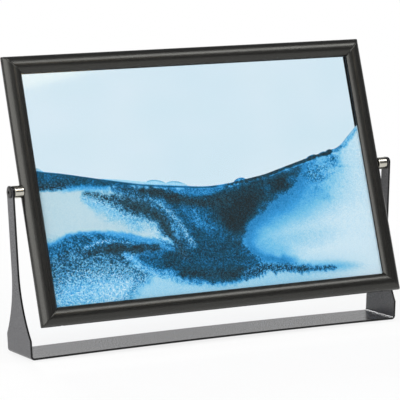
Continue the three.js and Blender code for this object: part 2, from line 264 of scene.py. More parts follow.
def satin_bronze(name, stretch):
    """Dark anodised metal with fine lines drawn out along the rail."""
    s = Shader(name)
    lines = s.noise(0.00035, s.place(stretch, -TILT), 4)
    clouds = s.noise(0.03, s.place(), 2)
    tone = s.maths("MULTIPLY", lines, clouds)
    look = {
        "Base Color": s.ramp(tone, [(0.1, (0.008, 0.0079, 0.0075, 1)), (0.5, (0.013, 0.0128, 0.012, 1))]),
        "Roughness": s.span(lines, 0.3, 0.7, 0.24, 0.33),
        "IOR": 1.52,
        "Specular Tint": (1, 0.995, 0.93, 1),
        "Normal": s.bump(lines, 0.1, 0.00004),
    }
    return s.principled(look)


def powder_coat(name, pale, dark, gloss):
    """Paint with a fine orange peel."""
    s = Shader(name)
    peel = s.noise(0.0006, s.place(), 3)
    clouds = s.noise(0.025, s.place(), 3)
    tone = s.maths("ADD", s.maths("MULTIPLY", peel, 0.6), s.maths("MULTIPLY", clouds, 0.4))
    look = {
        "Base Color": s.ramp(tone, [(0.35, (*dark, 1)), (0.65, (*pale, 1))]),
        "Roughness": s.span(peel, 0.3, 0.7, 0.24, 0.32),
        "Specular IOR Level": gloss,
        "Normal": s.bump(peel, 0.25, 0.00006),
    }
    return s.principled(look)


def turned_metal(name, colours, rough, metallic, strength):
    """Bright or dark metal with the fine rings that a lathe leaves."""
    s = Shader(name)
    rings = s.noise(0.0002, s.place((1, 30, 30)), 3)
    spots = s.noise(0.0012, s.place(), 4)
    look = {
        "Base Color": s.ramp(spots, [(0.3, (*colours[0], 1)), (0.7, (*colours[1], 1))]),
        "Metallic": metallic,
        "Roughness": s.span(s.maths("MULTIPLY", rings, spots), 0.1, 0.45, *rough),
        "Normal": s.bump(rings, strength, 0.00003),
    }
    return s.principled(look)


def spotted(name, pale, dark, grain, rough, metallic=0.0, detail=4, strength=0.3):
    """Plastic, rubber or cast metal with fine spots."""
    s = Shader(name)
    spots = s.noise(grain, s.place(), detail)
    look = {
        "Base Color": s.ramp(spots, [(0.35, (*dark, 1)), (0.65, (*pale, 1))]),
        "Metallic": metallic,
        "Roughness": s.span(spots, 0.3, 0.7, *rough),
        "Normal": s.bump(spots, strength, 0.00005),
    }
    return s.principled(look)


def clear_glass():
    """What lies behind it, lightly tinted, under a reflection that grows at the rim."""
    s = Shader("clear_glass")
    wipes = s.noise(0.02, s.place((2.5, 1, 1)), 3)
    tint = s.ramp(wipes, [(0.3, (0.986, 0.995, 0.993, 1)), (0.7, (0.992, 0.997, 0.996, 1))])
    clear = s.add("ShaderNodeBsdfTransparent", {"Color": tint})
    rough = s.span(wipes, 0.3, 0.7, 0.04, 0.08)
    gloss = s.add("ShaderNodeBsdfGlossy", {"Color": WHITE, "Roughness": rough})
    slant = s.add("ShaderNodeLayerWeight", {"Blend": 0.5}).outputs["Facing"]
    share = s.span(s.maths("POWER", slant, 5.0), 0.0, 1.0, LEAST_REFLECTION, 1.0)
    return s.finish(s.add("ShaderNodeMixShader", {0: share, 1: clear.outputs[0], 2: gloss.outputs[0]}))


def pale_blue_liquid():
    s = Shader("pale_blue_liquid")
    clouds = s.noise(0.09, s.place(), 2)
    tint = s.ramp(clouds, [(0.3, (0.835, 0.928, 0.985, 1)), (0.7, (0.875, 0.945, 0.995, 1))])
    return s.finish(s.add("ShaderNodeBsdfTransparent", {"Color": tint}))


def layered_sand():
    """Sand whose colour follows the darkness, grain and brownness painted on its points."""
    s = Shader("layered_sand")
    paint = s.add("ShaderNodeAttribute", attribute_name="drift").outputs["Color"]
    split = s.add("ShaderNodeSeparateColor", {"Color": paint})
    dark = split.outputs["Red"]
    grain = split.outputs["Green"]
    brown = split.outputs["Blue"]
    place = s.place()
    speck = s.cells(SPECK * MM, place)
    fine = s.noise(2 * SPECK * MM, place, 3)
    mixed = s.maths("ADD", s.maths("MULTIPLY", speck, 0.75), s.maths("MULTIPLY", fine, 0.5))
    shift = s.maths("MULTIPLY", s.maths("SUBTRACT", mixed, 0.625), grain)
    shaken = s.maths("ADD", dark, shift)
    blues = s.ramp(shaken, [
        (0.0, opaque(212, 233, 245)),
        (0.12, opaque(163, 212, 236)),
        (0.25, opaque(114, 193, 231)),
        (0.38, opaque(57, 158, 219)),
        (0.5, opaque(25, 120, 180)),
        (0.62, opaque(14, 90, 127)),
        (0.75, opaque(12, 67, 89)),
        (0.88, opaque(15, 51, 67)),
        (1.0, opaque(24, 37, 41)),
    ])
    umber = s.ramp(shaken, [
        (0.0, opaque(176, 201, 210)),
        (0.3, opaque(106, 166, 190)),
        (0.6, opaque(48, 84, 94)),
        (1.0, opaque(35, 38, 36)),
    ])
    look = {
        "Base Color": s.blend(brown, blues, umber),
        "Roughness": s.span(speck, 0.0, 1.0, 0.75, 0.95),
        "Specular IOR Level": 0.15,
        "Normal": s.bump(speck, 0.12, 0.0001),
    }
    return s.principled(look)


MATERIALS = {
    "satin_bronze": satin_bronze("satin_bronze", (50, 1, 1)),
    "satin_bronze_upright": satin_bronze("satin_bronze_upright", (1, 1, 50)),
    "powder_coat": powder_coat("powder_coat", (0.078, 0.078, 0.083), (0.064, 0.064, 0.069), 0.42),
    # The sheet's cut edges: a thinner coat makes them darker, and painted shade darkens them further,
    # standing in for the dark line along the edges
    "cut_edge_and_shade": powder_coat("cut_edge_and_shade", (0.008, 0.008, 0.0085), (0.005, 0.005, 0.0055), 0.25),
    "nickel": turned_metal("nickel", ((0.5, 0.485, 0.425), (0.58, 0.56, 0.5)), (0.1, 0.2), 1.0, 0.1),
    "black_steel": turned_metal("black_steel", ((0.012, 0.012, 0.012), (0.06, 0.058, 0.055)),
                                (0.25, 0.5), 0.6, 0.2),
    "zinc_steel": spotted("zinc_steel", (0.6, 0.61, 0.62), (0.45, 0.46, 0.47), 0.0015, (0.3, 0.5),
                          1.0, 5, 0.2),
    "nylon": spotted("nylon", (0.035, 0.035, 0.032), (0.02, 0.02, 0.018), 0.0008, (0.45, 0.6)),
    "pad_rubber": spotted("pad_rubber", (0.03, 0.03, 0.03), (0.018, 0.018, 0.018), 0.0007, (0.75, 0.9)),
    "cell_seal": spotted("cell_seal", (0.012, 0.012, 0.013), (0.006, 0.006, 0.007), 0.001, (0.6, 0.8)),
    "clear_glass": clear_glass(),
    "pale_blue_liquid": pale_blue_liquid(),
    "layered_sand": layered_sand(),
}


# Mesh helpers


def add_object(name, data):
    """A new object in the scene."""
    thing = bpy.data.objects.new(name, data)
    bpy.context.scene.collection.objects.link(thing)
    return thing


def finished(work, name):
    """What a bmesh holds, as a mesh with its faces turned outwards."""
    bmesh.ops.recalc_face_normals(work, faces=work.faces)
    mesh = bpy.data.meshes.new(name)
    work.to_mesh(mesh)
    work.free()
    return mesh


def make_mesh(name, places, *groups, weld=WELD):
    """A welded mesh from places in millimetres and groups of faces, one group for each material."""
    work = bmesh.new()
    points = [work.verts.new(Vector(p) * MM) for p in places]
    for kind, group in enumerate(groups):
        for corners in group:
            work.faces.new([points[i] for i in corners]).material_index = kind
    bmesh.ops.remove_doubles(work, verts=work.verts, dist=weld)
    bmesh.ops.dissolve_degenerate(work, edges=work.edges, dist=weld)
    return finished(work, name)


def shade(mesh, angle=LOW_CREASE):
    """Smooth shading, with edges left sharp from the given angle."""
    mesh.polygons.foreach_set("use_smooth", [True] * len(mesh.polygons))
    mesh.set_sharp_from_angle(angle=math.radians(angle))


def cut(mesh, tools):
    """mesh without the space that the tool meshes fill."""
    body = add_object("cut_body", mesh)
    helpers = [add_object("cut_tool", tool) for tool in tools]
    for helper in helpers:
        step = body.modifiers.new("cut", "BOOLEAN")
        step.operation = "DIFFERENCE"
        step.solver = "EXACT"
        step.object = helper
    bpy.context.view_layer.update()
    shaped = body.evaluated_get(bpy.context.evaluated_depsgraph_get())
    result = bpy.data.meshes.new_from_object(shaped)
    result.name = mesh.name
    for thing in [body, *helpers]:
        bpy.data.objects.remove(thing)
    return result


def show(name, mesh, materials, body, nodes, matrix=None):
    """Puts a finished mesh in the scene as a piece that stands for the given nodes."""
    if matrix:
        mesh.transform(matrix)
    for material in materials:
        mesh.materials.append(MATERIALS[material])
    piece = add_object(name, mesh)
    step = piece.modifiers.new("even_shading", "WEIGHTED_NORMAL")
    step.keep_sharp = True
    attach(piece, body)
    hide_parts(*nodes)


def turned(name, profile, steps=TURN_STEPS):
    """A solid of revolution about X from a closed profile of (radius, x) points."""
    places = []
    for k in range(steps):
        angle = 2 * math.pi * k / steps
        places += [(x, r * math.cos(angle), r * math.sin(angle)) for r, x in profile]
    size = len(profile)
    faces = []
    for k in range(steps):
        ring = k * size
        after = (k + 1) % steps * size
        for i in range(size):
            j = (i + 1) % size
            faces.append((ring + i, ring + j, after + j, after + i))
    return make_mesh(name, places, faces)


def bend(start, corner, end, steps):
    """Points of a smooth bend from start to end that leans towards corner."""
    points = []
    for t in np.linspace(0, 1, steps):
        points.append(tuple((1 - t) ** 2 * start + 2 * t * (1 - t) * corner + t * t * end))
    return points


def eased(profile, radius):
    """A closed profile whose corners are rounded over the given radius."""
    result = []
    for before, corner, after in zip([profile[-1], *profile], profile, [*profile[1:], profile[0]]):
        corner = np.array(corner, float)
        start = np.array(before) - corner
        end = np.array(after) - corner
        start = corner + start / np.linalg.norm(start) * radius
        end = corner + end / np.linalg.norm(end) * radius
        result += bend(start, corner, end, CORNER_STEPS)
    return result


def rod(radius, start, end, steps=TURN_STEPS):
    """A plain cutting cylinder along X."""
    return turned("rod", [(0, start), (radius, start), (radius, end), (0, end)], steps)


def moved(mesh, matrix):
    """The same mesh after its points are moved by matrix."""
    mesh.transform(matrix)
    return mesh


# Frame rails


def rail_side(sight, flat):
    """Half of a rail's outline, from its outer edge round the lip that ends at sight to the groove."""
    lip = math.acos(sight / OVAL_WIDE - 1)
    stop = 2 * math.pi - lip - LIP_ROUND / OVAL_DEEP
    points = []
    for angle in np.linspace(math.pi, stop, ARC_STEPS):
        wide = (OVAL_WIDE - SLACK) * math.cos(angle)
        points.append((OVAL_WIDE + wide, (OVAL_DEEP - SLACK) * math.sin(angle)))
    start = np.array(points[-1])
    tip = np.array((sight, -OVAL_DEEP * math.sin(lip)))
    end = tip + LIP_ROUND * np.array((0, 1) if flat else (-1, 0))
    points += bend(start, tip, end, 2 * CORNER_STEPS)[1:]
    if flat:
        points.append((sight, -GROOVE_HALF))
    points.append((GROOVE_BOTTOM, -GROOVE_HALF))
    return points


def rail_profile():
    """Closed outline of a rail: distance in from the outer edge, and front to back."""
    sight = OVAL_WIDE * (1 + math.cos(math.asin(GROOVE_HALF / OVAL_DEEP)))
    front = rail_side(sight, False)
    rear = rail_side(sight - REAR_LIP_SET_BACK, True)
    return front + [(u, -y) for u, y in reversed(rear[1:])]


def inset(profile, gap):
    """A closed profile moved into its own material by gap."""
    points = np.array(profile)
    along = np.roll(points, -1, axis=0) - np.roll(points, 1, axis=0)
    along /= np.linalg.norm(along, axis=1)[:, None]
    normal = np.stack([-along[:, 1], along[:, 0]], axis=1)
    return [tuple(p) for p in points + normal * gap]


def rail_mesh(name, length, reach, holes):
    """A rail along X with mitred, eased ends, whose outer edge is at Z = reach."""
    chamber = [(CHAMBER_NEAR, -CHAMBER_HALF), (CHAMBER_FAR, -CHAMBER_HALF),
               (CHAMBER_FAR, CHAMBER_HALF), (CHAMBER_NEAR, CHAMBER_HALF)]
    outer = rail_profile()
    slim = inset(outer, MITRE_SHRINK)
    ends = [(0, slim), (MITRE_ROUND, outer), (3 * MITRE_ROUND, outer)]
    stations = [(-1, *end) for end in ends] + [(1, *end) for end in reversed(ends)]
    work = bmesh.new()

    def loop(end, back, profile):
        half = length / 2 - MITRE_GAP - back
        return [work.verts.new(Vector((end * (half - u), y, reach - u)) * MM) for u, y in profile]

    def bridge(first, second):
        for i, start in enumerate(first):
            j = (i + 1) % len(first)
            work.faces.new((start, first[j], second[j], second[i]))

    skins = [loop(*station) for station in stations]
    hollows = [loop(-1, 0, chamber), loop(1, 0, chamber)]
    for first, second in zip(skins, skins[1:]):
        bridge(first, second)
    bridge(*hollows)
    for skin, hollow in ((skins[0], hollows[0]), (skins[-1], hollows[-1])):
        rims = []
        for ring in (skin, hollow):
            for i, start in enumerate(ring):
                rims.append(work.edges.get((start, ring[(i + 1) % len(ring)])))
        bmesh.ops.triangle_fill(work, use_beauty=True, edges=rims)
    mesh = finished(work, name)
    upright = Matrix.Rotation(-math.pi / 2, 4, "Y")
    tools = []
    for at, radius, depth in holes:
        tool = rod(radius, reach - depth, reach + HOLE_OVERSHOOT)
        tools.append(moved(tool, Matrix.Translation((at * MM, 0, 0)) @ upright))
    mesh = cut(mesh, tools)
    shade(mesh, HIGH_CREASE)
    return mesh


def frame_rails():
    half_width = picture_box("frame_rail_right")[1][0]
    half_height = picture_box("frame_rail_top")[1][2]
    hollow = (CHAMBER_NEAR + CHAMBER_FAR) / 2
    grubs = [(side * (half_width - GRUB_OFFSET), GRUB_HOLE_RADIUS, hollow) for side in (-1, 1)]
    pivot = [(0, PIVOT_HOLE_RADIUS, hollow), (0, SEAT_RADIUS, SEAT_DEPTH)]
    rails = [
        ("top", half_width, half_height, grubs, 0, "satin_bronze"),
        ("right", half_height, half_width, pivot, 90, "satin_bronze_upright"),
        ("bottom", half_width, half_height, grubs, 180, "satin_bronze"),
        ("left", half_height, half_width, pivot, -90, "satin_bronze_upright"),
    ]
    for side, half, reach, holes, turn, look in rails:
        mesh = rail_mesh(f"rail_{side}", 2 * half, reach, holes)
        matrix = PICTURE @ Matrix.Rotation(math.radians(turn), 4, "Y")
        show(f"rail_{side}", mesh, [look], "picture", [f"frame_rail_{side}"], matrix)


# Stand


def stand_path():
    """The sheet's middle line from the base's middle to the right upright's top, by length."""
    pivot_z = PIVOT.z / MM
    inner = stand_box("pivot_bush_right")[0][0]
    lean = math.tan(SPLAY)
    bend_z = PAD_THICKNESS + SHEET + BEND_RADIUS
    rise = pivot_z - bend_z + BEND_RADIUS * math.sin(SPLAY)
    bend_x = inner - rise * lean - BEND_RADIUS * math.cos(SPLAY)
    radius = BEND_RADIUS + SHEET / 2
    turn = math.pi / 2 - SPLAY
    arch = (bend_x ** 2 + BASE_BOW ** 2) / (2 * BASE_BOW)
    arch_turn = math.asin(bend_x / arch)
    arch_z = bend_z + BASE_BOW - arch
    arch -= radius
    bend_start = arch * arch_turn
    bend_end = bend_start + radius * (arch_turn + turn)

    def at(length):
        """Point and outward normal, in X and Z, at a length along the strip."""
        side = 1 if length >= 0 else -1
        length = abs(length)
        if length < bend_start:
            angle = -length / arch
            point = (-arch * math.sin(angle), arch_z + arch * math.cos(angle))
        else:
            angle = min((length - bend_start) / radius - arch_turn, turn)
            more = max(length - bend_end, 0)
            point = (bend_x + radius * math.sin(angle) + more * math.cos(angle),
                     bend_z - radius * math.cos(angle) + more * math.sin(angle))
        return (side * point[0], point[1]), (side * math.sin(angle), -math.cos(angle))

    def length_at(level):
        """Length along the strip at which the upright reaches a level."""
        start = bend_z - radius * math.cos(turn)
        return bend_end + (level - start) / math.sin(turn)

    return at, length_at, bend_start, bend_end


def strip_outline():
    """Half of the unrolled strip's edge: (length, half width, normal) from middle to top."""
    _, length_at, bend_start, bend_end = stand_path()
    spread = BASE_HALF - NECK_HALF
    rise = FLARE_TOP - FLARE_BOTTOM
    radius = (spread ** 2 + rise ** 2) / (2 * spread)
    sweep = math.asin(rise / radius)
    edge = [(length, BASE_HALF, (0, 1)) for length in np.linspace(0, bend_start, BEND_STEPS)[:-1]]
    edge += [(length, BASE_HALF, (0, 1)) for length in np.linspace(bend_start, bend_end, BEND_STEPS)]
    edge.append((length_at(FLARE_BOTTOM) - SHEET_EDGE_ROUND, BASE_HALF, (0, 1)))
    for angle in np.linspace(sweep, 0, FLARE_STEPS):
        place = length_at(FLARE_TOP - radius * math.sin(angle))
        width = NECK_HALF + radius * (1 - math.cos(angle))
        edge.append((place, width, (math.sin(angle), math.cos(angle))))
    inside = NECK_HALF - NECK_CORNER
    shoulder = PIVOT.z / MM + NECK_TOP - NECK_CORNER
    for level in np.linspace(FLARE_TOP, shoulder, NECK_STEPS)[1:-1]:
        edge.append((length_at(level), NECK_HALF, (0, 1)))
    for angle in np.linspace(0, math.pi / 2, NECK_CORNER_STEPS):
        place = length_at(shoulder + NECK_CORNER * math.sin(angle))
        width = inside + NECK_CORNER * math.cos(angle)
        edge.append((place, width, (math.sin(angle), math.cos(angle))))
    return edge


def stand_mesh():
    """The bent strip, with its edges as a group of faces of their own."""
    at = stand_path()[0]
    half = strip_outline()
    edge = [(-s, w, (-n[0], n[1])) for s, w, n in reversed(half)] + half[1:]
    quarter = [math.pi / 2 * k / CORNER_STEPS for k in range(CORNER_STEPS + 1)]
    flat = SHEET / 2 - SHEET_EDGE_ROUND
    outer = [(flat + SHEET_EDGE_ROUND * math.cos(a), SHEET_EDGE_ROUND * (1 - math.sin(a))) for a in quarter]
    rings = outer + [(-n, gap) for n, gap in reversed(outer)]
    places = []
    index = {}
    for ring, (offset, gap) in enumerate(rings):
        for i, (length, width, normal) in enumerate(edge):
            (x, z), (nx, nz) = at(length - gap * normal[0])
            y = width - gap * normal[1]
            for side in (-1, 1):
                index[ring, i, side] = len(places)
                places.append((x + nx * offset, side * y, z + nz * offset))
    faces = []
    edge_faces = []
    last = len(rings) - 1
    for i in range(len(edge) - 1):
        for ring in (0, last):
            faces.append([index[ring, i, -1], index[ring, i + 1, -1],
                          index[ring, i + 1, 1], index[ring, i, 1]])
        for ring in range(last):
            for side in (-1, 1):
                edge_faces.append([index[ring, i, side], index[ring, i + 1, side],
                                   index[ring + 1, i + 1, side], index[ring + 1, i, side]])
    for i in (0, len(edge) - 1):
        for ring in range(last):
            edge_faces.append([index[ring, i, -1], index[ring, i, 1],
                               index[ring + 1, i, 1], index[ring + 1, i, -1]])
    return make_mesh("stand", places, faces, edge_faces, weld=SHEET_WELD)


def stand():
    reach = stand_box("stand_bracket")[1][0] + SHEET
    bore = moved(rod(BUSH_HOLE_RADIUS, -reach, reach), Matrix.Translation(PIVOT))
    mesh = stand_mesh()
    # The second material paints the sheet's edges near black: partly a thinner coat, partly painted shade
    for material in ("powder_coat", "cut_edge_and_shade"):
        mesh.materials.append(MATERIALS[material])
    mesh = cut(mesh, [bore])
    shade(mesh, MID_CREASE)
    show("stand_sheet", mesh, [], "stand", ["stand_bracket"])


def pad_profile(radius, top):
    """A pad's outline from its middle, over the grooves underneath and the eased rim, to its top."""
    points = [(0, 0)]
    for start, end in PAD_GROOVES:
        points += [(radius * start, 0), (radius * (start + PAD_GROOVE_SLOPE), PAD_GROOVE_DEPTH),
                   (radius * (end - PAD_GROOVE_SLOPE), PAD_GROOVE_DEPTH), (radius * end, 0)]
    in_by, up_by = PAD_LOWER_EDGE
    points += [(radius - in_by, 0), (radius, up_by)]
    points += [(radius, top - PAD_UPPER_EDGE), (radius - PAD_UPPER_EDGE, top)]
    return [*points, (0, top)]


def foot_pads():
    for end in ("front", "rear"):
        for side in SIDES:
            node = f"foot_pad_{end}_{side}"
            low, high = stand_box(node)
            radius = (high[0] - low[0]) / 2
            middle = (low + high) / 2
            mesh = turned(node, pad_profile(radius, high[2]))
            place = Matrix.Translation(Vector((middle[0], middle[1], PAD_LIFT)) * MM)
            moved(mesh, place @ Matrix.Rotation(-math.pi / 2, 4, "Y"))
            shade(mesh)
            show(f"pad_{end}_{side}", mesh, ["pad_rubber"], "stand", [node])


# Pivots


def side_matrix(base, side):
    """Pivot pieces are drawn for the right side and turned about Z for the left."""
    return base @ Matrix.Rotation(0 if SIDES[side] > 0 else math.pi, 4, "Z")


def reach_of(box):
    """Start and end of a piece along X, as drawn for the right side, and its radius."""
    low, high = box
    ends = sorted((abs(low[0]), abs(high[0])))
    return ends[0], ends[1], (high[1] - low[1]) / 2


def pivot_mesh(kind, start, end, radius):
    """A screw, or a ring with eased edges."""
    if kind == "screw":
        return screw_mesh(start, end, radius)
    bore, ease = PIVOT_RINGS[kind]
    ring = [(bore, start), (radius, start), (radius, end), (bore, end)]
    mesh = turned(kind, eased(ring, ease))
    shade(mesh, HIGH_CREASE)
    return mesh


def pivots():
    pieces = [("sleeve", "picture", "nickel"), ("washer", "stand", "nylon"), ("bush", "stand", "nylon"),
              ("screw", "picture", "black_steel")]
    places = {"picture": (PICTURE, picture_box), "stand": (Matrix.Translation(PIVOT), stand_box)}
    for side in SIDES:
        for kind, body, look in pieces:
            base, box = places[body]
            node = f"pivot_{kind}_{side}"
            mesh = pivot_mesh(kind, *reach_of(box(node)))
            show(f"{kind}_{side}", mesh, [look], body, [node], side_matrix(base, side))


def screw_mesh(start, end, radius):
    """A screw with a low domed head and a six-sided socket."""
    seat = end - HEAD_HEIGHT
    shoulder = np.array((radius - HEAD_SHOULDER, end))
    rim = np.array((radius, seat + HEAD_RIM))
    crown = np.array((0, end))
    dome = bend(rim, shoulder, crown, DOME_STEPS)
    profile = [(0, start), (SCREW_RADIUS - SCREW_CHAMFER, start), (SCREW_RADIUS, start + SCREW_CHAMFER),
               (SCREW_RADIUS, seat), (radius - HEAD_EDGE, seat), (radius, seat + HEAD_EDGE), *dome]
    socket = rod(HEAD_SOCKET_RADIUS, end - HEAD_SOCKET_DEPTH, end + SOCKET_OVERSHOOT, SOCKET_SIDES)
    mesh = cut(turned("screw", profile), [socket])
    shade(mesh, MID_CREASE)
    return mesh


# Glass cell


def panes():
    for face in ("front", "rear"):
        node = f"{face}_glass"
        low, high = picture_box(node)
        work = bmesh.new()
        bmesh.ops.create_cube(work, size=1)
        size = (high - low) * MM
        bmesh.ops.scale(work, vec=size, verts=work.verts)
        bmesh.ops.translate(work, vec=(low + high) / 2 * MM, verts=work.verts)
        bmesh.ops.bevel(work, geom=work.edges[:], offset=PANE_CHAMFER * MM, segments=2, affect="EDGES")
        mesh = finished(work, node)
        shade(mesh)
        show(f"pane_{face}", mesh, ["clear_glass"], "picture", [node], PICTURE)


# Sand and liquid


def curve(points):
    """Points of a smooth curve through the given ones."""
    p = np.array(points, float)
    p = np.vstack([p[:1], p, p[-1:]])
    t = np.linspace(0, 1, CURVE_STEPS, endpoint=False)[:, None]
    parts = []
    for a, b, c, d in zip(p, p[1:], p[2:], p[3:]):
        parts.append((2 * b + (c - a) * t + (2 * a - 5 * b + 4 * c - d) * t ** 2
                      + (3 * b - a - 3 * c + d) * t ** 3) / 2)
    return np.vstack([*parts, p[-1:]])


def height(points):
    """Height of a smooth line over x, as a function."""
    line = curve(points)
    return lambda x: np.interp(x, line[:, 0], line[:, 1])


def soft(value, low, high):
    """0 below low, 1 above high and smooth between."""
    t = np.clip((value - low) / (high - low), 0, 1)
    return t * t * (3 - 2 * t)


# Points across the lattice of the noise, and a shift that keeps its cells above 0
LATTICE = 64
LATTICE_SHIFT = 200


def lumps(place, size, seed):
    """Smooth noise from -1 to 1 whose lumps measure about size in millimetres."""
    lattice = np.random.default_rng(seed).uniform(-1, 1, (LATTICE, LATTICE))
    grid = place / np.array(size) + LATTICE_SHIFT
    cell = np.floor(grid).astype(int)
    part = grid - cell
    part = part * part * (3 - 2 * part)
    x0, z0 = cell.T % LATTICE
    x1, z1 = (x0 + 1) % LATTICE, (z0 + 1) % LATTICE
    low = lattice[x0, z0] * (1 - part[:, 0]) + lattice[x1, z0] * part[:, 0]
    high = lattice[x0, z1] * (1 - part[:, 0]) + lattice[x1, z1] * part[:, 0]
    return low * (1 - part[:, 1]) + high * part[:, 1]


def gaps_to(line, place):
    """Distance from each place to each point of a line."""
    return np.hypot(place[:, None, 0] - line[None, :, 0], place[:, None, 1] - line[None, :, 1])


def stroke(place, points):
    """1 on a stroke's middle line, 0 at its edge and less outside; points give its half width."""
    line = curve(points)
    return 1 - (gaps_to(line, place) / line[None, :, 2]).min(axis=1)


def patch(place, middle, wide, high):
    """1 in the middle of an oval patch, 0 at its edge and less outside."""
    return 1 - np.hypot((place[:, 0] - middle[0]) / wide, (place[:, 1] - middle[1]) / high)


def depth_in(place, points):
    """Distance inside a closed outline, less than 0 outside."""
    line = curve([*points, points[0]])[:-1]
    after = np.roll(line, -1, axis=0)
    gaps = gaps_to(line, place).min(axis=1)
    inside = np.zeros(len(place), bool)
    for (xa, za), (xb, zb) in zip(line, after):
        if za != zb:
            crosses = (za > place[:, 1]) != (zb > place[:, 1])
            inside ^= crosses & (place[:, 0] < (xb - xa) * (place[:, 1] - za) / (zb - za) + xa)
    return np.where(inside, gaps, -gaps)


# Places of the sand are in millimetres across and up from the pivot, in the frame's own plane
CREST = [(-142, 15), (-132, 13), (-120, 11), (-105, 8), (-89, 4.7), (-73, 1.7), (-57, -1.3), (-41, -3.3),
         (-22, -5.3), (-6, -6.9), (6, -7), (23, -5.6), (35, -3.8), (50, -1.5), (64, 2), (78, 5.5), (92, 9),
         (110, 13), (117, 14.5), (123, 17.5), (130, 23.5), (138, 30), (142, 33)]
MOUNDS = [(-138, 2, 5), (-52, 1.9, 36), (-43, 1.9, 8), (-26, 2.2, 9), (28, 2.2, 5), (94, 1.1, 4),
          (104, 0.7, 2.5), (110, 0.9, 2)]
MOUND_POWER = 0.8
BARE_SAND = (0.0, 0.04, 0.0)
crest = height(CREST)


def sand_top(x):
    """The crest with the low clear mounds that lie on it: middle, height and half width."""
    top = crest(x)
    for middle, rise, half in MOUNDS:
        share = np.clip(1 - ((x - middle) / half) ** 2, 0, 1)
        top = top + rise * share ** MOUND_POWER
    return top


class Drift:
    """Darkness, grain and brownness of the sand at each place."""

    def __init__(self, place):
        self.place = place
        self.coats = np.tile(BARE_SAND, (len(place), 1))

    def lay(self, cover, dark, grain=0.1, brown=0.0):
        """Covers what is there, by a share at each place, with sand of the given look."""
        coat = np.stack(np.broadcast_arrays(dark, grain, brown), axis=-1)
        self.coats += cover[:, None] * (coat - self.coats)

    def draw(self, points, look, rough=0.0, full=0.8, start=0.0):
        """Lays a stroke through points of x, z and half width, with a soft and rough edge."""
        self.lay(soft(stroke(self.place, points) + rough, start, full), *look)


def paint_sand(place):
    """Colour values at each place of the sand, laid on layer by layer."""
    x, z = place.T
    ragged = lumps(place, (5, 4), 1)
    fine = lumps(place, (1.7, 1.7), 2)
    broad = lumps(place, (16, 12), 3)
    sand = Drift(place)
    paint_floor(sand, x, z, ragged)
    paint_heap(sand, x, z, ragged, fine)
    paint_middle(sand, ragged, fine, broad)
    paint_pocket(sand, x, z, ragged, fine)
    paint_crest(sand, x, z, ragged, fine)
    return np.hstack([sand.coats, np.ones((len(place), 1))])


def paint_floor(sand, x, z, ragged):
    """Pale sand with a bluer floor and a speckled left corner."""
    sand.lay(soft(-x, 30, 70), 0.02, 0.08, 0.65)
    sand.lay(soft(-z, 58, 78) * soft(-x, -140, -60), 0.13, 0.08)
    sand.lay(soft(-x, 118, 142) * soft(-z, 30, 50), 0.4 + 0.1 * ragged, 0.5)
    sand.lay(soft(-x, 92, 138) * soft(-z, 66, 84), 0.32 + 0.1 * ragged, 0.45)


def paint_heap(sand, x, z, ragged, fine):
    """The low heap on the left, with a blue skin and a speckled inside that thins out downwards."""
    top = height([(-142, -41), (-137, -39), (-132, -38.5), (-128, -36), (-122, -34), (-114, -33),
                  (-106, -33), (-95, -33.5), (-83, -35), (-72, -37), (-60, -41), (-50, -43), (-42, -47),
                  (-30, -56)])
    deep = top(x) - z + 0.7 * fine
    reach = soft(-x - 1.3 * np.maximum(-z - 54, 0) + 3 * ragged, 30, 54)
    skin = 2 + 3 * soft(x, -100, -70)
    sand.lay(reach * soft(deep, -1.2, 1.5), 0.37, 0.15)
    sand.lay(reach * soft(deep, skin - 1.5, skin + 3), 0.6 + 0.06 * ragged, 0.6)
    sand.lay(reach * soft(deep, 8, 16) * soft(-x, 56, 72), 0.57 + 0.12 * ragged, 0.75, 0.3)
    sand.lay(reach * soft(deep, 19, 31), 0.42, 0.8, 0.3)
    sand.lay(reach * soft(deep, 27, 43), 0.15 + 0.1 * soft(-x, 78, 122), 0.45)
    sand.draw([(-109, -45.5, 1.6), (-101, -43, 2.2), (-93, -42, 2.2), (-85, -42.5, 2.2), (-72, -45, 1.5)],
              (0.38, 0.8), 0.2 * fine)
    arc = [(-110, -50, 3), (-92, -48.5, 6), (-82, -48.5, 6.5), (-71, -49.5, 6.5), (-61, -51, 7),
           (-51, -53, 7.5), (-40, -56, 8.5)]
    sand.draw(arc, (0.78, 0.6, 0.4), 0.35 * fine + 0.2 * ragged, 1.0)
    sand.draw(arc[1:6], (0.86, 0.5, 0.5), 0.15 * fine + 0.12 * ragged, 1.1, 0.1)
    light = [(-77, -53, 3.5), (-71, -57.5, 6.5), (-65, -62.5, 6.5), (-56, -67.5, 5.5), (-45, -72, 5),
             (-34, -76.5, 4), (-20, -80, 3)]
    sand.draw(light, (0.3, 0.45), 0.25 * fine, 0.9)
    sand.draw([(-47, -45, 3), (-40, -49.5, 5.5), (-33, -55, 8)], (0.48, 0.5), 0.3 * fine, 1.0)


